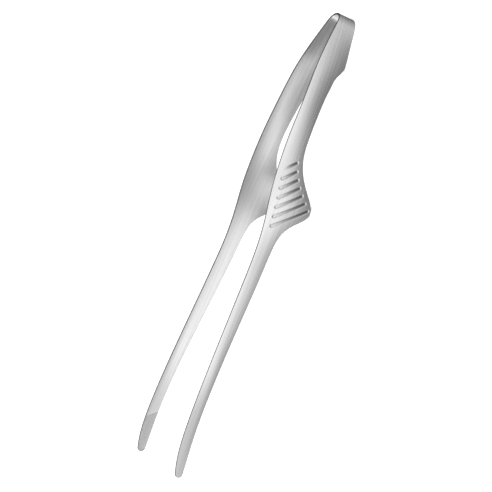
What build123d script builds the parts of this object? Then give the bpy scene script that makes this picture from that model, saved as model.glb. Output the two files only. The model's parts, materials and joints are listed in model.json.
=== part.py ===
"""Spring tongs: one strip of stainless sheet bent into a narrow bow, with two long crowned arms.

The strip is drawn in its own frame first: X is the squeeze direction, Y runs along the tongs with the
bow's crest at zero and the tips on the minus side, and Z runs across the strip. "distance" is always the
distance from the crest, and "height" is the place across the strip. At the end the tongs are tipped by
REST_TILT, which stands them on the bow's straight lower edge and on the two wings.
All sizes are in millimetres.
"""
import os
from math import atan, cos, degrees, radians, sin, tan

from build123d import *

# Sheet
SHEET = 1.2
TIP_SHEET = 1.0
TAPER_START = 150.0

# Bow
BOW_RADIUS = 6.2
LEG_ANGLE = 10.8
ARM_START = 9.0

# Lower edge that the tongs stand on: its height at the crest, and its fall per mm of distance
HEEL_HEIGHT = -9.2
HEEL_FALL = 0.1122
HEEL_LENGTH = 28.5
REST_TILT = degrees(atan(HEEL_FALL))

# Outline seen from the side: points on each edge, as distance and height
OVERRUN = -3.0
UPPER_EDGE = [
    (OVERRUN, 1.6), (17.0, 5.5), (36.0, 8.35), (60.0, 9.6), (84.0, 10.4), (102.0, 10.0),
    (120.0, 8.5), (138.0, 5.8), (156.0, 4.4), (174.0, 4.5), (204.0, 5.3), (240.0, 6.15),
    (262.0, 6.2), (278.0, 5.6), (289.0, 4.35), (295.5, 2.9), (299.2, 1.75),
]
TIP_END = (301.0, -0.65)
TIP_DIRECTION = (-1.0, 0.02)
LOWER_EDGE = [
    (298.4, -3.15), (287.0, -2.3), (270.0, -1.25), (250.0, -1.15), (222.0, -2.25), (190.0, -4.25),
    (160.0, -5.85), (148.0, -6.6), (139.0, -9.3), (131.5, -15.8), (126.5, -21.1), (122.8, -22.7),
    (119.3, -22.0), (112.0, -16.1), (104.0, -9.7), (96.0, -5.7), (86.0, -3.85), (75.0, -3.85),
    (66.0, -4.35), (58.0, -4.95), (50.0, -5.9), (45.0, -6.85), (40.0, -7.7), (36.5, -9.4), (33.0, -11.5),
]

# Arm, at stations along it: the place of the sheet's upper edge, the height of the crown's middle, the
# crown's bend (the fall for each square millimetre from the middle), how far the crown's middle stands
# out from the upper edge, and how far each section is drawn past the middle, beyond both edges
EDGE_PLACES = [
    (9.0, 6.73), (20.0, 8.85), (38.0, 12.2), (62.0, 15.4), (88.0, 17.2), (120.0, 19.65), (170.0, 22.5),
    (210.0, 24.7), (255.0, 27.2), (303.0, 29.65),
]
CROWN_MIDDLES = [
    (9.0, -2.0), (20.0, 0.0), (30.0, 1.5), (38.0, 3.8), (50.0, 5.3), (62.0, 5.8), (75.0, 5.2), (88.0, 4.2),
    (106.0, 0.0), (120.0, -5.0), (132.0, -3.0), (146.0, 0.3), (170.0, 1.5), (210.0, 2.7), (232.0, 3.2),
    (255.0, 3.5), (280.0, 3.0), (303.0, 1.0),
]
CROWN_BENDS = [
    (9.0, 0.0), (14.0, 0.002), (20.0, 0.005), (30.0, 0.009), (38.0, 0.015), (50.0, 0.0185),
    (62.0, 0.019), (75.0, 0.018), (88.0, 0.0165), (106.0, 0.012), (120.0, 0.0095), (132.0, 0.0105),
    (146.0, 0.0125), (170.0, 0.0145), (210.0, 0.02), (232.0, 0.025), (255.0, 0.016), (280.0, 0.01),
    (303.0, 0.006),
]
CROWN_RISES = [
    (9.0, 0.0), (14.0, 0.06), (20.0, 0.17), (30.0, 0.32), (38.0, 0.33), (50.0, 0.3), (62.0, 0.29),
    (75.0, 0.47), (88.0, 0.68), (106.0, 1.2), (120.0, 1.76), (132.0, 1.1), (146.0, 0.35), (170.0, 0.15),
    (210.0, 0.16), (232.0, 0.24), (255.0, 0.14), (280.0, 0.07), (303.0, 0.05),
]
SECTION_REACHES = [
    (9.0, 16.0), (62.0, 16.0), (104.0, 19.0), (122.0, 23.5), (140.0, 18.0), (160.0, 13.0), (303.0, 12.0),
]
ARM_END = 303.0
SECTIONS = 42

# Finger grooves pressed into each outer face at the wing
GROOVES = 7
GROOVE_WIDTH = 2.0
GROOVE_DEPTH = 0.4
GROOVE_FIRST = (103.2, 5.9)
GROOVE_STEP = (5.85, -0.87)
GROOVE_SHORTEST = 9.6
GROOVE_GROWTH = 17.2
GROOVE_GROWTH_POWER = 1.5
GROOVE_ANGLE = 47.3
GROOVE_ANGLE_STEP = 0.6

# Teeth across each tip's inner face
TEETH = 22
TOOTH_FIRST = 276.0
TOOTH_STEP = 1.07
TOOTH_WIDTH = 0.8
TOOTH_DEPTH = 0.28
TOOTH_ANGLE = 41.0
TOOTH_REACH = 12.0
TOOTH_MIDDLE = 1.9
TOOTH_MIDDLE_FALL = 0.13

# Plane of the outline: distance to the right, height up
SIDE = Plane(origin=(0, 0, 0), x_dir=(0, -1, 0), z_dir=(-1, 0, 0))
OUTLINE_REACH = 45.0


def leg_place(distance, radius=BOW_RADIUS):
    """Middle of the sheet on the bow's straight leg."""
    tangent_angle = radians(90 - LEG_ANGLE)
    tangent_distance = SHEET / 2 + BOW_RADIUS - radius * cos(tangent_angle)
    return radius * sin(tangent_angle) + (distance - tangent_distance) * tan(radians(LEG_ANGLE))


def sheet_at(distance):
    """Thickness of the arm's sheet across X, which thins towards the tips."""
    if distance == ARM_START:
        return SHEET / cos(radians(LEG_ANGLE))
    share = max(0.0, (distance - TAPER_START) / (TIP_END[0] - TAPER_START))
    return SHEET + (TIP_SHEET - SHEET) * share


def make_outline():
    """The blanked side outline, as a prism right through both arms."""
    heel_end = (HEEL_LENGTH, HEEL_HEIGHT - HEEL_FALL * HEEL_LENGTH)
    heel_start = (OVERRUN, HEEL_HEIGHT - HEEL_FALL * OVERRUN)
    heel_direction = (-1, HEEL_FALL)
    with BuildPart() as prism:
        with BuildSketch(SIDE):
            with BuildLine():
                Spline(*UPPER_EDGE)
                ThreePointArc(UPPER_EDGE[-1], TIP_END, LOWER_EDGE[0])
                Spline(*LOWER_EDGE, heel_end, tangents=[TIP_DIRECTION, heel_direction])
                Line(heel_end, heel_start)
                Line(heel_start, UPPER_EDGE[0])
            make_face()
        extrude(amount=OUTLINE_REACH, both=True)
    return prism.part


def smooth_value(stations, distance):
    """A value between stations, on a curve that passes through each of them with no corner."""
    places = [station[0] for station in stations]
    i = max(0, min(len(stations) - 2, sum(place <= distance for place in places) - 1))
    slopes = []
    for k in (i, i + 1):
        low, high = stations[max(0, k - 1)], stations[min(len(stations) - 1, k + 1)]
        slopes.append((high[1] - low[1]) / (high[0] - low[0]))
    (start, before), (end, after) = stations[i], stations[i + 1]
    span = end - start
    u = (distance - start) / span
    return (
        (2 * u**3 - 3 * u**2 + 1) * before + (u**3 - 2 * u**2 + u) * span * slopes[0]
        + (3 * u**2 - 2 * u**3) * after + (u**3 - u**2) * span * slopes[1]
    )


def arm_section(distance, inner, outer):
    """Outline of one cross section of the arm's sheet, wider than the arm, between two offsets in X."""
    middle = smooth_value(CROWN_MIDDLES, distance)
    bend = smooth_value(CROWN_BENDS, distance)
    rise = smooth_value(CROWN_RISES, distance)
    reach = smooth_value(SECTION_REACHES, distance)
    curves = []
    for offset in (inner, outer):
        apex = smooth_value(EDGE_PLACES, distance) + rise + offset
        fall = (bend - 2 * offset * bend**2) * reach**2
        low = (apex - fall, -distance, middle - reach)
        high = (apex - fall, -distance, middle + reach)
        curves.append(Bezier(low, (apex + fall, -distance, middle), high))
    inner_curve, outer_curve = curves
    low_side = Line(inner_curve @ 0, outer_curve @ 0)
    high_side = Line(outer_curve @ 1, inner_curve @ 1)
    return Wire([low_side, outer_curve, high_side, inner_curve])


def arm_layer(inner_share, outer_share, extra=0.0):
    """The arm's sheet or a layer of it, before its outline is cut: offsets are shares of half the sheet."""
    sections = []
    for i in range(SECTIONS + 1):
        distance = ARM_START + (ARM_END - ARM_START) * i / SECTIONS
        inner = inner_share * sheet_at(distance) / 2 - extra
        outer = outer_share * sheet_at(distance) / 2 + extra
        sections.append(arm_section(distance, inner, outer))
    return Part() + Solid.make_loft(sections)


def make_grooves():
    """Cutters for the finger grooves, all of one depth below the outer face."""
    skin = arm_layer(1, 1, GROOVE_DEPTH)
    with BuildPart() as slots:
        with BuildSketch(SIDE.offset(-OUTLINE_REACH)):
            for i in range(GROOVES):
                length = GROOVE_SHORTEST + GROOVE_GROWTH * (i / (GROOVES - 1)) ** GROOVE_GROWTH_POWER
                angle = GROOVE_ANGLE + GROOVE_ANGLE_STEP * i
                middle_distance = GROOVE_FIRST[0] + i * GROOVE_STEP[0] - length / 2 * cos(radians(angle))
                middle_height = GROOVE_FIRST[1] + i * GROOVE_STEP[1] - length / 2 * sin(radians(angle))
                with Locations((middle_distance, middle_height)):
                    SlotOverall(length + GROOVE_WIDTH, GROOVE_WIDTH, rotation=angle)
        extrude(amount=OUTLINE_REACH)
    return slots.part & skin


def inner_face_point(distance, height):
    """A point on the nearly flat inner face near the tip."""
    crown_place = smooth_value(EDGE_PLACES, distance) + smooth_value(CROWN_RISES, distance)
    return Vector(crown_place - sheet_at(distance) / 2, -distance, height)


def make_teeth():
    """V-shaped cutters for the teeth, slanting across the tip's inner face."""
    along = sin(radians(TOOTH_ANGLE))
    across = cos(radians(TOOTH_ANGLE))
    cutters = []
    for i in range(TEETH):
        distance = TOOTH_FIRST + i * TOOTH_STEP / across
        height = TOOTH_MIDDLE - TOOTH_MIDDLE_FALL * (distance - TOOTH_FIRST)
        middle = inner_face_point(distance, height)
        direction = inner_face_point(distance + along, height + across) - middle
        plane = Plane(origin=middle, x_dir=(1, 0, 0), z_dir=direction.normalized())
        with BuildPart() as cutter:
            with BuildSketch(plane):
                Polygon(
                    (TOOTH_DEPTH, 0), (-TOOTH_DEPTH, TOOTH_WIDTH), (-TOOTH_DEPTH, -TOOTH_WIDTH),
                    align=None,
                )
            extrude(amount=TOOTH_REACH, both=True)
        cutters.append(cutter.part)
    return cutters


def make_arm(outline):
    """The right arm: crowned sheet, blanked outline, finger grooves and tip teeth."""
    arm = (arm_layer(-1, 1) & outline).solid()
    for cutter in make_grooves().solids():
        arm = arm.cut(cutter).solid()
    toothed = arm.cut(*[cutter.solid() for cutter in make_teeth()])
    return max(toothed.solids(), key=lambda solid: solid.volume)


def bow_profile(radius):
    """Ends of the legs and of the arc for one face of the bow, from right to left."""
    tangent_angle = radians(90 - LEG_ANGLE)
    centre = -(SHEET / 2 + BOW_RADIUS)
    tangent = (radius * sin(tangent_angle), centre + radius * cos(tangent_angle))
    end = (leg_place(ARM_START, radius), -ARM_START)
    return end, tangent, (0, centre + radius)


def make_bow(outline):
    """The spring bow: an arc with two short straight legs, as wide as the strip."""
    with BuildPart() as bow:
        with BuildSketch(Plane.XY):
            with BuildLine():
                ends = []
                for radius in (BOW_RADIUS + SHEET / 2, BOW_RADIUS - SHEET / 2):
                    end, tangent, top = bow_profile(radius)
                    left_tangent = (-tangent[0], tangent[1])
                    left_end = (-end[0], end[1])
                    Line(end, tangent)
                    ThreePointArc(tangent, top, left_tangent)
                    Line(left_tangent, left_end)
                    ends.append((end, left_end))
                Line(ends[0][0], ends[1][0])
                Line(ends[0][1], ends[1][1])
            make_face()
        extrude(amount=OUTLINE_REACH, both=True)
    return bow.part & outline


def main():
    outline = make_outline()
    right_arm = make_arm(outline)
    parts = {
        "spring_bow": make_bow(outline),
        "right_arm": right_arm,
        "left_arm": mirror(right_arm, about=Plane.YZ),
    }
    tilt = Location((0, 0, 0), (-REST_TILT, 0, 0))
    box = Compound(children=[tilt * shape for shape in parts.values()]).bounding_box()
    to_row = Location((0, -box.center().Y, -box.min.Z)) * tilt
    hinge_place = leg_place(ARM_START) - SHEET / 2 / cos(radians(LEG_ANGLE))
    hinge = to_row * Location((hinge_place, -ARM_START, HEEL_HEIGHT))
    print("hinge", hinge.position, "axis lean", REST_TILT, "box", box.size)

    os.makedirs("parts", exist_ok=True)
    for name, shape in parts.items():
        export_step(to_row * shape, f"parts/{name}.step")


main()
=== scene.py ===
"""Satin steel spring tongs: fine meshes of the bow and the two arms, their material, and the studio."""
import json
from math import asin, cos, pi, radians, sin, tan

import bmesh
import bpy
import numpy as np
from mathutils import Matrix, Vector


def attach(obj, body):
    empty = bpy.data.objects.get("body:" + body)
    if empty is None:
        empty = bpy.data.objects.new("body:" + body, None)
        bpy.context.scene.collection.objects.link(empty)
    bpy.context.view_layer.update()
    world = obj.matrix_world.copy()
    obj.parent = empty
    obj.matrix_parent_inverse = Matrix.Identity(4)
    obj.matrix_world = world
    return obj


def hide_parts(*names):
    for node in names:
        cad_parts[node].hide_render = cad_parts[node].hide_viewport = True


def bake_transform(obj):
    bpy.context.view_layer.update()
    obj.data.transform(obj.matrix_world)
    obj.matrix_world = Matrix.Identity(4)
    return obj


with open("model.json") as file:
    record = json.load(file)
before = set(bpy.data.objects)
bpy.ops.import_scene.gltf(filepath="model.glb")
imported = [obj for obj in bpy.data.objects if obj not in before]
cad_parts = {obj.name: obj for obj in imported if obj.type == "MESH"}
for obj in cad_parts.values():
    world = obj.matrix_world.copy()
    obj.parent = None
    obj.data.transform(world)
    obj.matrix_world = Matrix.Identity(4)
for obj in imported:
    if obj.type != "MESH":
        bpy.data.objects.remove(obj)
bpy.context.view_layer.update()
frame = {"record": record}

# The strip is worked out in millimetres in its own frame, as in the CAD model: "place" is the squeeze
# direction, "distance" runs from the bow's crest to the tips, and "height" is across the strip.
MM = 0.001

# Sheet and bow
SHEET = 1.2
TIP_SHEET = 1.0
TAPER_START = 150.0
EDGE_RADIUS = 0.16
BOW_RADIUS = 6.2
LEG_ANGLE = radians(10.8)
ARM_START = 9.0
HEEL_HEIGHT = -9.2
HEEL_FALL = 0.1122
HEEL_LENGTH = 28.5
# The lower edge's spline starts this far before the heel's end, so that it leaves the heel in line
HEEL_LEAD = 6.0
REST_TILT = np.arctan(HEEL_FALL)

# Outline seen from the side, as (distance, height)
UPPER_EDGE = [
    (-3.0, 1.6), (17.0, 5.5), (36.0, 8.35), (60.0, 9.6), (84.0, 10.4), (102.0, 10.0),
    (120.0, 8.5), (138.0, 5.8), (156.0, 4.4), (174.0, 4.5), (204.0, 5.3), (240.0, 6.15),
    (262.0, 6.2), (278.0, 5.6), (289.0, 4.35), (295.5, 2.9), (299.2, 1.75),
]
TIP_END = (301.0, -0.65)
LOWER_EDGE = [
    (298.4, -3.15), (287.0, -2.3), (270.0, -1.25), (250.0, -1.15), (222.0, -2.25), (190.0, -4.25),
    (160.0, -5.85), (148.0, -6.6), (139.0, -9.3), (131.5, -15.8), (126.5, -21.1), (122.8, -22.7),
    (119.3, -22.0), (112.0, -16.1), (104.0, -9.7), (96.0, -5.7), (86.0, -3.85), (75.0, -3.85),
    (66.0, -4.35), (58.0, -4.95), (50.0, -5.9), (45.0, -6.85), (40.0, -7.7), (36.5, -9.4), (33.0, -11.5),
]

# Arm, each as (distance, value): the place of the sheet, and its crown, which stands out from that
# place by rise - bend * (height - middle)**2
EDGE_PLACES = [
    (9.0, 6.73), (20.0, 8.85), (38.0, 12.2), (62.0, 15.4), (88.0, 17.2), (120.0, 19.65), (170.0, 22.5),
    (210.0, 24.7), (255.0, 27.2), (303.0, 29.65),
]
CROWN_MIDDLES = [
    (9.0, 0.0), (20.0, 2.0), (30.0, 2.8), (38.0, 4.0), (50.0, 5.3), (62.0, 5.8), (75.0, 5.2), (88.0, 4.2),
    (106.0, 0.0), (120.0, -5.0), (132.0, -3.0), (146.0, 0.3), (170.0, 1.5), (210.0, 2.7), (232.0, 3.2),
    (255.0, 3.5), (280.0, 3.0), (303.0, 1.0),
]
CROWN_BENDS = [
    (0.0, 0.0), (9.0, 0.003), (14.0, 0.006), (20.0, 0.0085), (30.0, 0.012), (38.0, 0.0155), (50.0, 0.0185),
    (62.0, 0.019), (75.0, 0.018), (88.0, 0.0165), (106.0, 0.012), (120.0, 0.0095), (132.0, 0.0105),
    (146.0, 0.0125), (170.0, 0.0145), (210.0, 0.02), (232.0, 0.025), (255.0, 0.016), (280.0, 0.01),
    (303.0, 0.006),
]
CROWN_RISES = [
    (0.0, 0.0), (9.0, 0.04), (14.0, 0.08), (20.0, 0.13), (30.0, 0.26), (38.0, 0.31), (50.0, 0.3),
    (62.0, 0.29), (75.0, 0.47), (88.0, 0.68), (106.0, 1.2), (120.0, 1.76), (132.0, 1.1), (146.0, 0.35),
    (170.0, 0.15), (210.0, 0.16), (232.0, 0.24), (255.0, 0.14), (280.0, 0.07), (303.0, 0.05),
]

# Finger grooves. The first is the shortest and starts softly. Each one gets deeper towards its lower end,
# and its floor gets painted shade that grows darker towards that end.
GROOVES = 7
GROOVE_RADIUS = 1.15
GROOVE_WALL = 0.75
GROOVE_BRIM = 0.1
GROOVE_DEPTH = 0.5
GROOVE_DEEPENING = 0.25
LIP_HEIGHT = 0.05
LIP_PLACE = 0.3
LIP_WIDTH = 0.22
GROOVE_FIRST = (103.2, 5.9)
GROOVE_STEP = (5.85, -0.87)
GROOVE_SHORTEST = 9.6
GROOVE_GROWTH = 17.2
GROOVE_GROWTH_POWER = 1.5
GROOVE_ANGLE = 47.3
GROOVE_ANGLE_STEP = 0.6
FIRST_GROOVE_FADE = (-1.0, 6.0)
# Painted shade in each groove comes in between these shares of its length
GROOVE_SHADE_SHARES = (-0.2, 0.9)

# Teeth
TOOTH_PITCH = 1.07
TOOTH_DEPTH = 0.24
TOOTH_FLANK = 1.25
TOOTH_FADE = 0.25
TOOTH_ANGLE = radians(41.0)
TOOTH_START = (274.6, 0.4)

# Brushed grain: noise features per metre along and across the strip, and the finish they make
GRAIN_SCALE = (20.0, 1100.0, 1.0)
STREAK_SCALE = (9.0, 620.0, 1.0)
NOISE_DETAIL = 2.0
STREAK_SHARE = 0.7
MARK_RANGE = (0.3, 0.7)
GRAIN_SPREAD = 0.35
ACROSS_THE_GRAIN = 0.25
GRAIN_BUMP = 0.03
GRAIN_HEIGHT = 0.00003
INNER_ROUGHER = 0.05
INNER_GRAIN_SHIFT = 40.0
# Painted shade: the grey that the grooves and the tips are darkened towards
PAINTED_SHADE_TONE = 0.2
# Painted shade towards the tips: how much, and the distances over which it comes in
TIP_PAINTED_SHADE = 0.38
TIP_SHADE_SPAN = (225.0, 270.0)

# Studio: brightness from straight down to straight up, the shares from the tips' end to the bow's end,
# the share left on the far side of the part and where it rises, and the gain on all of them. The floor's
# reach and the lamp's place and size are in metres, and its power is in watts.
SKY_LEVELS = [
    (0.0, 0.20), (0.07, 0.26), (0.146, 0.40), (0.213, 0.60), (0.313, 0.93), (0.41, 1.0), (0.5, 0.92),
    (0.67, 0.88), (1.0, 0.7),
]
END_LEVELS = [
    (0.0, 1.0), (0.35, 0.9), (0.43, 0.82), (0.5, 0.75), (0.58, 0.66), (0.65, 0.6), (0.8, 0.48), (1.0, 0.42),
]
BACK_LEVEL = 0.1
BACK_RANGE = (-0.85, 0.4)
SKY_GAIN = 1.96
FLOOR_REACH = 4.0
FLOOR_TONE = 0.9
FLOOR_ROUGHNESS = 0.9
FLOOR_GLOW = 0.35
LAMP_PLACE = (-0.1, 0.0, 1.4)
LAMP_SIZE = 1.6
LAMP_POWER = 12.0

# Camera: its angle above the strip's side, its roll, distance, the distance that it aims at, and lens
VIEW_ANGLE = radians(28.0)
VIEW_ROLL = radians(22.2)
VIEW_DISTANCE = 1166.0
VIEW_MIDDLE = 155.3
LENS = 137.6
SENSOR = 36.0

# Mesh: rows along the strip as (from, to, spacing), and columns across it
ROW_SPANS = [(9.0, 92.0, 1.1), (92.0, 142.0, 0.32), (142.0, 270.0, 1.5), (270.0, 297.0, 0.2)]
TIP_ROWS = 26
BOW_ROWS = 20
LEG_ROWS = 4
COLUMNS = 84
CORNER_STEPS = 4
SLOPE_REACH = 0.5

# In metres: vertices closer than this are one
WELD_DISTANCE = 1e-7


def smooth(points):
    """The natural cubic spline through these points, as a function of their first value."""
    x, y = np.array(sorted(points), float).T
    h = np.diff(x)
    n = len(x)
    a = np.eye(n)
    b = np.zeros(n)
    for i in range(1, n - 1):
        a[i, i - 1:i + 2] = h[i - 1], 2 * (h[i - 1] + h[i]), h[i]
        b[i] = 6 * ((y[i + 1] - y[i]) / h[i] - (y[i] - y[i - 1]) / h[i - 1])
    c = np.linalg.solve(a, b)

    def value(at):
        i = np.clip(np.searchsorted(x, at) - 1, 0, n - 2)
        left, right, span = at - x[i], x[i + 1] - at, h[i]
        return (
            (c[i] * right**3 + c[i + 1] * left**3) / (6 * span)
            + (y[i] / span - c[i] * span / 6) * right
            + (y[i + 1] / span - c[i + 1] * span / 6) * left
        )

    return value


def circle_through(p, q, r):
    """Centre and radius of the circle through three points."""
    p, q, r = (np.array(v, float) for v in (p, q, r))
    rows = np.array([q - p, r - p]) * 2
    centre = np.linalg.solve(rows, [q @ q - p @ p, r @ r - p @ p])
    return centre, np.linalg.norm(p - centre)


def heel_edge(distance):
    """Height of the straight lower edge that the bow stands on."""
    return HEEL_HEIGHT - HEEL_FALL * distance


heel_points = [(d, heel_edge(d)) for d in (HEEL_LENGTH, HEEL_LENGTH - HEEL_LEAD)]
upper_spline = smooth(UPPER_EDGE)
lower_spline = smooth(LOWER_EDGE + heel_points)
tip_centre, tip_radius = circle_through(UPPER_EDGE[-1], TIP_END, LOWER_EDGE[0])
tip_distance = tip_centre[0] + tip_radius
edge_place = smooth(EDGE_PLACES)
crown_middle = smooth(CROWN_MIDDLES)
crown_bend = smooth(CROWN_BENDS)
crown_rise = smooth(CROWN_RISES)


def tip_reach(distance):
    """Half the height of the round tip at this distance."""
    return np.sqrt(np.maximum(tip_radius**2 - (distance - tip_centre[0]) ** 2, 0))


def upper_edge(distance):
    """Height of the outline's upper edge."""
    tip = tip_centre[1] + tip_reach(distance)
    return np.where(distance > UPPER_EDGE[-1][0], tip, upper_spline(distance))


def lower_edge(distance):
    """Height of the outline's lower edge."""
    tip = tip_centre[1] - tip_reach(distance)
    body = np.where(distance > LOWER_EDGE[0][0], tip, lower_spline(distance))
    return np.where(distance < HEEL_LENGTH, heel_edge(distance), body)


def bow_rows():
    """Middle line of half the bow and its leg: place, distance and the outward normal of each row."""
    angles = np.linspace(0, pi / 2 - LEG_ANGLE, BOW_ROWS)
    place = BOW_RADIUS * np.sin(angles)
    distance = SHEET / 2 + BOW_RADIUS * (1 - np.cos(angles))
    leg_distance = np.linspace(distance[-1], ARM_START, LEG_ROWS + 1)[1:]
    leg_place = place[-1] + (leg_distance - distance[-1]) * tan(LEG_ANGLE)
    leg_normals = np.tile([cos(LEG_ANGLE), -sin(LEG_ANGLE)], (LEG_ROWS, 1))
    normals = np.vstack([np.column_stack([np.sin(angles), -np.cos(angles)]), leg_normals])
    return np.concatenate([place, leg_place]), np.concatenate([distance, leg_distance]), normals


def arm_rows():
    """Middle line of an arm: place, distance and the outward normal of each row."""
    parts = [np.arange(start, end, step) for start, end, step in ROW_SPANS]
    last = ROW_SPANS[-1][1]
    first_angle = asin((last - tip_centre[0]) / tip_radius)
    parts.append(tip_centre[0] + tip_radius * np.sin(np.linspace(first_angle, pi / 2, TIP_ROWS)))
    distance = np.concatenate(parts)
    place = edge_place(distance)
    slope = (edge_place(distance + SLOPE_REACH) - edge_place(distance - SLOPE_REACH)) / (2 * SLOPE_REACH)
    slope[0] = tan(LEG_ANGLE)
    normals = np.column_stack([np.ones_like(slope), -slope]) / np.sqrt(1 + slope**2)[:, None]
    return place, distance, normals


def step_up(value, low, high):
    """0 below low and 1 above high, with a smooth rise between."""
    t = np.clip((value - low) / (high - low), 0, 1)
    return t * t * (3 - 2 * t)


def groove_press(distance, height):
    """How far the outer face is pressed in at the finger grooves, and the painted shade on their floors,
    which grows towards each groove's lower end.
    """
    depth = np.zeros_like(distance)
    shade_mask = np.zeros_like(distance)
    for i in range(GROOVES):
        length = GROOVE_SHORTEST + GROOVE_GROWTH * (i / (GROOVES - 1)) ** GROOVE_GROWTH_POWER
        angle = radians(GROOVE_ANGLE + GROOVE_ANGLE_STEP * i)
        start = np.array(GROOVE_FIRST) + i * np.array(GROOVE_STEP)
        along = (start[0] - distance) * cos(angle) + (start[1] - height) * sin(angle)
        across = (start[0] - distance) * sin(angle) - (start[1] - height) * cos(angle)
        beyond = along - np.clip(along, 0, length)
        away = np.hypot(beyond, across) - GROOVE_RADIUS
        inside = 1 - step_up(away, -GROOVE_WALL, GROOVE_BRIM)
        fade = step_up(along, *FIRST_GROOVE_FADE) if i == 0 else 1.0
        deepening = 1 - GROOVE_DEEPENING * (1 - step_up(along, 0, length))
        lip = LIP_HEIGHT * np.exp(-(((away - LIP_PLACE) / LIP_WIDTH) ** 2))
        groove_shade = step_up(along / length, *GROOVE_SHADE_SHARES)
        depth += (GROOVE_DEPTH * deepening * inside - lip) * fade
        shade_mask = np.maximum(shade_mask, inside * fade * groove_shade)
    return depth, shade_mask


def tooth_depth(distance, height):
    """How far the inner face is cut away between the teeth at the tip."""
    across = (distance - TOOTH_START[0]) * cos(TOOTH_ANGLE) - (height - TOOTH_START[1]) * sin(TOOTH_ANGLE)
    wave = np.abs((across / TOOTH_PITCH) % 1 - 0.5) * 2
    cut = TOOTH_DEPTH * np.clip(TOOTH_FLANK * (1 - wave), 0, 1)
    return cut * step_up(across, 0.0, TOOTH_FADE)


def outline_normals(distance, height, side):
    """Unit normals of the outline's upper (1) or lower (-1) edge, pointing out of the sheet."""
    run = np.gradient(distance)
    rise = np.gradient(height)
    reaches_tip = np.isclose(distance[-1], tip_distance)
    if reaches_tip:
        run[-1], rise[-1] = 0.0, -side
    length = np.hypot(run, rise)
    return np.column_stack([-side * rise / length, side * run / length])


def section_columns(half_sheet):
    """One loop round the sheet: for each vertex its share across, offset, edge reach and which face."""
    shares = np.linspace(0, 1, COLUMNS)
    corner = np.linspace(0, pi / 2, CORNER_STEPS + 1)
    flat = half_sheet - EDGE_RADIUS
    loop = [(t, half_sheet, 0.0, 1) for t in shares]
    loop += [(1.0, flat + EDGE_RADIUS * cos(a), EDGE_RADIUS * sin(a), 0) for a in corner[1:]]
    loop += [(1.0, -flat - EDGE_RADIUS * sin(a), EDGE_RADIUS * cos(a), 0) for a in corner[:-1]]
    loop += [(t, -half_sheet, 0.0, -1) for t in shares[::-1]]
    loop += [(0.0, -flat - EDGE_RADIUS * cos(a), EDGE_RADIUS * sin(a), 0) for a in corner[1:]]
    loop += [(0.0, flat + EDGE_RADIUS * sin(a), EDGE_RADIUS * cos(a), 0) for a in corner[:-1]]
    return np.array(loop)


def strip_mesh(place, distance, normals, side):
    """Rings round the sheet along these rows, with the strip coordinates of each vertex, its painted shade
    and whether it is on the inner face.

    side is 1 for the right half and -1 for the left.
    """
    top = upper_edge(distance)
    low = lower_edge(distance)
    top_normals = outline_normals(distance, top, 1)
    low_normals = outline_normals(distance, low, -1)
    thinning = np.clip((distance - TAPER_START) / (TIP_END[0] - TAPER_START), 0, 1)
    half_sheets = (SHEET + (TIP_SHEET - SHEET) * thinning) / 2
    middle, bend, rise = crown_middle(distance), crown_bend(distance), crown_rise(distance)
    run = np.concatenate([[0], np.cumsum(np.hypot(np.diff(place), np.diff(distance)))])
    points, flow, shade_and_face = [], [], []
    for i in range(len(distance)):
        share, offset, reach, face = section_columns(half_sheets[i]).T
        outer, inner = face == 1, face == -1
        ends = np.where(share[:, None] > 0.5, top_normals[i], low_normals[i])
        low_in = np.array([distance[i], low[i]]) - EDGE_RADIUS * low_normals[i]
        top_in = np.array([distance[i], top[i]]) - EDGE_RADIUS * top_normals[i]
        flat = low_in + (top_in - low_in) * share[:, None] + reach[:, None] * ends
        crown = rise[i] - bend[i] * (flat[:, 1] - middle[i]) ** 2
        crown_slope = (flat[:, 1] - middle[i]) * 2 * bend[i]
        # The grooves' press, and the painted shade on their floors
        press, shade_mask = groove_press(flat[:, 0], flat[:, 1])
        offset = np.where(outer, offset - press, offset)
        offset = np.where(inner, offset + tooth_depth(flat[:, 0], flat[:, 1]), offset)
        lean = 1 / np.sqrt(1 + crown_slope**2)
        out = crown + offset * lean
        x = place[i] + normals[i, 0] * out
        y = -(flat[:, 0] + normals[i, 1] * out)
        z = flat[:, 1] + offset * crown_slope * lean
        points.append(np.column_stack([side * x, y, z]))
        across = flat[:, 1] + INNER_GRAIN_SHIFT * inner
        flow.append(np.column_stack([np.full(len(x), run[i]), across]))
        # Painted shade that darkens the tips, standing in for a tilt of the sheet there
        tip_shade = TIP_PAINTED_SHADE * step_up(distance[i], *TIP_SHADE_SPAN)
        # Painted shade: on the groove floors of the outer face, and towards the tips
        painted_shade = np.maximum(np.where(outer, shade_mask, 0), tip_shade)
        shade_and_face.append(np.column_stack([painted_shade, inner]))
    return points, flow, shade_and_face


def to_row():
    """The strip's frame in the row frame, in metres, from where the CAD model has its hinge."""
    hinge = frame["record"]["behaviour"]["joints"][0]["pos_m"]
    turn = Matrix.Rotation(-REST_TILT, 4, "X")
    strip_hinge = Vector((abs(hinge[0]), -ARM_START * MM, HEEL_HEIGHT * MM))
    shift = Vector(hinge) - turn @ strip_hinge
    return Matrix.Translation(Vector((0, shift.y, shift.z))) @ turn


ROW = to_row()


def ring_faces(rows, count, flip, end_cap):
    """Quads between the rings, then a cap on the first ring, and one on the last if asked for."""
    faces = []
    for i in range(rows - 1):
        for k in range(count):
            a, b = i * count + k, i * count + (k + 1) % count
            faces.append((a, b, b + count, a + count))
    faces.append(tuple(range(count))[::-1])
    if end_cap:
        faces.append(tuple(range((rows - 1) * count, rows * count)))
    return [face[::-1] for face in faces] if flip else faces


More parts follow.
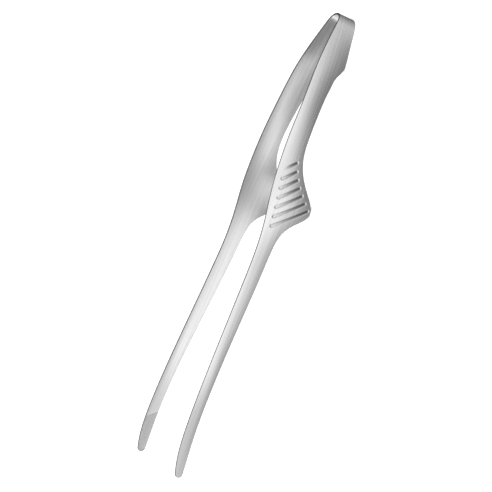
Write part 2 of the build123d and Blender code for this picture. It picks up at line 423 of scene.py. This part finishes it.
def add_layers(mesh, flow, shade_and_face):
    """The strip coordinates as a UV map, and the painted shade and the inner-face mark as point attributes.
    """
    layer = mesh.uv_layers.new(name="strip")
    loops = np.empty(len(mesh.loops), int)
    mesh.loops.foreach_get("vertex_index", loops)
    layer.data.foreach_set("uv", (np.vstack(flow)[loops] * MM).astype(np.float32).ravel())
    for column, layer_name in enumerate(("painted_shade", "inner")):
        layer = mesh.attributes.new(layer_name, "FLOAT", "POINT")
        layer.data.foreach_set("value", np.vstack(shade_and_face)[:, column].astype(np.float32))


def weld_and_smooth(mesh):
    """Join the vertices that meet at the tip, and shade smoothly but for the flat ends' borders."""
    work = bmesh.new()
    work.from_mesh(mesh)
    bmesh.ops.remove_doubles(work, verts=work.verts, dist=WELD_DISTANCE)
    for face in work.faces:
        face.smooth = True
        if len(face.verts) > 4:
            for edge in face.edges:
                edge.smooth = False
    work.to_mesh(mesh)
    work.free()


def build(name, rings, flow, shade_and_face, flip, end_cap):
    """A mesh object from rings of vertices, with material 0 on its faces and 1 on its cut edges."""
    rows = len(rings)
    count = len(rings[0])
    corners = 2 * CORNER_STEPS
    rims = (COLUMNS - 1, COLUMNS + corners), (2 * COLUMNS + corners - 1, count)
    mesh = bpy.data.meshes.new(name)
    mesh.from_pydata((np.vstack(rings) * MM).tolist(), [], ring_faces(rows, count, flip, end_cap))
    for i in range((rows - 1) * count):
        mesh.polygons[i].material_index = int(any(a <= i % count < b for a, b in rims))
    mesh.transform(ROW)
    add_layers(mesh, flow, shade_and_face)
    weld_and_smooth(mesh)
    piece = bpy.data.objects.new(name, mesh)
    bpy.context.collection.objects.link(piece)
    return piece


def make_arm(name, side):
    """One arm, on the right for side 1 and on the left for -1. Its rows close by themselves at the tip."""
    place, distance, normals = arm_rows()
    rings, flow, shade_and_face = strip_mesh(place, distance, normals, side)
    return build(name, rings, flow, shade_and_face, flip=side < 0, end_cap=False)


def make_bow(name):
    """The bow from the end of its left leg to the end of its right one."""
    place, distance, normals = bow_rows()
    right, right_flow, right_shade_and_face = strip_mesh(place, distance, normals, 1)
    left, left_flow, left_shade_and_face = strip_mesh(place, distance, normals, -1)
    rings = left[:0:-1] + right
    flow = [ring * (-1, 1) for ring in left_flow[:0:-1]] + right_flow
    shade_and_face = left_shade_and_face[:0:-1] + right_shade_and_face
    return build(name, rings, flow, shade_and_face, flip=False, end_cap=True)


def stretched_noise(nodes, links, source, scale):
    """Noise drawn out along the strip."""
    stretch = nodes.new("ShaderNodeMapping")
    stretch.inputs["Scale"].default_value = scale
    links.new(source, stretch.inputs["Vector"])
    noise = nodes.new("ShaderNodeTexNoise")
    noise.inputs["Scale"].default_value = 1.0
    noise.inputs["Detail"].default_value = NOISE_DETAIL
    links.new(stretch.outputs["Vector"], noise.inputs["Vector"])
    return noise.outputs["Fac"]


def brush_marks(nodes, links):
    """The fine grain, and its mix with the broader streaks."""
    uv = nodes.new("ShaderNodeUVMap")
    uv.uv_map = "strip"
    grain = stretched_noise(nodes, links, uv.outputs["UV"], GRAIN_SCALE)
    streaks = stretched_noise(nodes, links, uv.outputs["UV"], STREAK_SCALE)
    # Inputs 2 and 3 are the mix node's two numbers
    marks = nodes.new("ShaderNodeMix")
    marks.inputs[0].default_value = STREAK_SHARE
    links.new(grain, marks.inputs[2])
    links.new(streaks, marks.inputs[3])
    return grain, marks.outputs[0]


def brushed_roughness(nodes, links, marks, smooth_end, rough_end):
    """Roughness that follows the marks and is greater on the inner face."""
    rough = nodes.new("ShaderNodeMapRange")
    rough.inputs["From Min"].default_value, rough.inputs["From Max"].default_value = MARK_RANGE
    rough.inputs["To Min"].default_value = smooth_end
    rough.inputs["To Max"].default_value = rough_end
    links.new(marks, rough.inputs["Value"])
    inner = nodes.new("ShaderNodeAttribute")
    inner.attribute_name = "inner"
    softer = nodes.new("ShaderNodeMath")
    softer.operation = "MULTIPLY_ADD"
    softer.inputs[1].default_value = INNER_ROUGHER
    links.new(inner.outputs["Fac"], softer.inputs[0])
    links.new(rough.outputs["Result"], softer.inputs[2])
    return softer.outputs["Value"]


def brushed_colour(nodes, links, marks, dark, light):
    """Grey that follows the marks, with painted shade in the grooves and towards the tips."""
    colour = nodes.new("ShaderNodeValToRGB")
    for stop, place, level in zip(colour.color_ramp.elements, MARK_RANGE, (dark, light)):
        stop.position = place
        stop.color = (level, level, level, 1)
    links.new(marks, colour.inputs["Fac"])
    # Painted shade mask: it mixes the grey towards the painted shade tone
    shade_mask = nodes.new("ShaderNodeAttribute")
    shade_mask.attribute_name = "painted_shade"
    # Inputs 6 and 7 are the mix node's two colours
    painted_shade = nodes.new("ShaderNodeMix")
    painted_shade.data_type = "RGBA"
    painted_shade.inputs[7].default_value = (PAINTED_SHADE_TONE, PAINTED_SHADE_TONE, PAINTED_SHADE_TONE, 1)
    links.new(shade_mask.outputs["Fac"], painted_shade.inputs["Factor"])
    links.new(colour.outputs["Color"], painted_shade.inputs[6])
    return painted_shade.outputs[2]


def grain_normal(nodes, links, grain):
    """The faint relief of the fine grain."""
    bump = nodes.new("ShaderNodeBump")
    bump.inputs["Strength"].default_value = GRAIN_BUMP
    bump.inputs["Distance"].default_value = GRAIN_HEIGHT
    links.new(grain, bump.inputs["Height"])
    return bump.outputs["Normal"]


def brushed_steel(name, dark, light, smooth_end, rough_end):
    """Brushed stainless steel, its grain running along the strip."""
    material = bpy.data.materials.new(name)
    material.use_nodes = True
    nodes, links = material.node_tree.nodes, material.node_tree.links
    shader = nodes["Principled BSDF"]
    shader.inputs["Metallic"].default_value = 1.0
    grain, marks = brush_marks(nodes, links)
    links.new(brushed_roughness(nodes, links, marks, smooth_end, rough_end), shader.inputs["Roughness"])
    links.new(brushed_colour(nodes, links, marks, dark, light), shader.inputs["Base Color"])
    links.new(grain_normal(nodes, links, grain), shader.inputs["Normal"])
    shader.inputs["Anisotropic"].default_value = GRAIN_SPREAD
    shader.inputs["Anisotropic Rotation"].default_value = ACROSS_THE_GRAIN
    lay = nodes.new("ShaderNodeTangent")
    lay.direction_type = "UV_MAP"
    lay.uv_map = "strip"
    links.new(lay.outputs["Tangent"], shader.inputs["Tangent"])
    return material


def graded(nodes, links, source, levels):
    """A brightness that follows one axis of the direction, from -1 to 1, through these levels."""
    share = nodes.new("ShaderNodeMapRange")
    share.inputs["From Min"].default_value = -1.0
    links.new(source, share.inputs["Value"])
    tone = nodes.new("ShaderNodeValToRGB")
    ramp = tone.color_ramp
    ramp.interpolation = "EASE"
    for place, _level in levels[1:-1]:
        ramp.elements.new(place)
    for stop, (_place, level) in zip(ramp.elements, levels):
        stop.color = (level, level, level, 1)
    links.new(share.outputs["Result"], tone.inputs["Fac"])
    return tone.outputs["Color"]


def product(nodes, links, first, second):
    """Two brightnesses multiplied."""
    both = nodes.new("ShaderNodeMath")
    both.operation = "MULTIPLY"
    links.new(first, both.inputs[0])
    links.new(second, both.inputs[1])
    return both.outputs["Value"]


def surround():
    """A soft studio seen in the steel: bright above and in front, darker below and behind."""
    world = bpy.data.worlds.new("surround")
    bpy.context.scene.world = world
    world.use_nodes = True
    nodes, links = world.node_tree.nodes, world.node_tree.links
    where = nodes.new("ShaderNodeTexCoord")
    axes = nodes.new("ShaderNodeSeparateXYZ")
    links.new(where.outputs["Generated"], axes.inputs["Vector"])
    tone = graded(nodes, links, axes.outputs["Z"], SKY_LEVELS)
    ends = graded(nodes, links, axes.outputs["Y"], END_LEVELS)
    front = nodes.new("ShaderNodeMapRange")
    front.inputs["From Min"].default_value, front.inputs["From Max"].default_value = BACK_RANGE
    front.inputs["To Min"].default_value = BACK_LEVEL
    links.new(axes.outputs["X"], front.inputs["Value"])
    shade = product(nodes, links, product(nodes, links, tone, front.outputs["Result"]), ends)
    gain = nodes.new("ShaderNodeMath")
    gain.operation = "MULTIPLY"
    gain.inputs[1].default_value = SKY_GAIN
    links.new(shade, gain.inputs[0])
    nodes["Background"].inputs["Color"].default_value = (1, 1, 1, 1)
    links.new(gain.outputs["Value"], nodes["Background"].inputs["Strength"])


def floor_paint():
    """Matt white that glows a little, so that the floor looks evenly lit."""
    paint = bpy.data.materials.new("floor_paint")
    paint.use_nodes = True
    shader = paint.node_tree.nodes["Principled BSDF"]
    shader.inputs["Base Color"].default_value = (FLOOR_TONE, FLOOR_TONE, FLOOR_TONE, 1)
    shader.inputs["Roughness"].default_value = FLOOR_ROUGHNESS
    shader.inputs["Emission Color"].default_value = (1, 1, 1, 1)
    shader.inputs["Emission Strength"].default_value = FLOOR_GLOW
    return paint


def make_floor():
    """The floor, left out of the steel's reflections."""
    mesh = bpy.data.meshes.new("floor")
    reach = FLOOR_REACH
    corners = [(-reach, -reach, 0), (reach, -reach, 0), (reach, reach, 0), (-reach, reach, 0)]
    mesh.from_pydata(corners, [], [(0, 1, 2, 3)])
    mesh.materials.append(floor_paint())
    floor = bpy.data.objects.new("floor", mesh)
    bpy.context.collection.objects.link(floor)
    floor.visible_glossy = False


def add_lamp():
    """One large soft light overhead, aimed at the origin."""
    light = bpy.data.lights.new("overhead", "AREA")
    light.shape = "RECTANGLE"
    light.size = light.size_y = LAMP_SIZE
    light.energy = LAMP_POWER
    lamp = bpy.data.objects.new("overhead", light)
    lamp.location = LAMP_PLACE
    lamp.rotation_euler = (-Vector(LAMP_PLACE)).to_track_quat("-Z", "Y").to_euler()
    bpy.context.collection.objects.link(lamp)


def add_camera():
    """The camera, aimed at the middle of the strip."""
    data = bpy.data.cameras.new("camera")
    data.lens = LENS
    data.sensor_width = SENSOR
    camera = bpy.data.objects.new("camera", data)
    back = Vector((cos(VIEW_ANGLE), 0, sin(VIEW_ANGLE)))
    down = Vector((sin(VIEW_ANGLE), 0, -cos(VIEW_ANGLE)))
    along = Vector((0, 1, 0))
    right = cos(VIEW_ROLL) * down + sin(VIEW_ROLL) * along
    up = -sin(VIEW_ROLL) * down + cos(VIEW_ROLL) * along
    turn = Matrix((right, up, back)).transposed().to_4x4()
    spot = (Vector((0, -VIEW_MIDDLE, 0)) + VIEW_DISTANCE * back) * MM
    camera.matrix_world = ROW @ Matrix.Translation(spot) @ turn
    bpy.context.collection.objects.link(camera)
    bpy.context.scene.camera = camera


face_steel = brushed_steel("satin_steel_brushed", dark=0.60, light=0.76, smooth_end=0.23, rough_end=0.32)
# The cut edges' steel is painted near black: a painted dark reflection along the rims
painted_shade_rim_steel = brushed_steel("satin_steel_cut_edge_painted_shade", dark=0.11, light=0.17, smooth_end=0.36, rough_end=0.46)
bow = make_bow("bow_strip")
right = make_arm("right_arm_strip", 1)
left = make_arm("left_arm_strip", -1)
for piece in (bow, right, left):
    piece.data.materials.append(face_steel)
    piece.data.materials.append(painted_shade_rim_steel)
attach(bow, "bow")
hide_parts("spring_bow")
for piece, body, node in ((right, "right", "right_arm"), (left, "left", "left_arm")):
    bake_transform(piece)
    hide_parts(node)
make_floor()
surround()
add_lamp()
add_camera()
bpy.context.scene.view_settings.view_transform = "Standard"
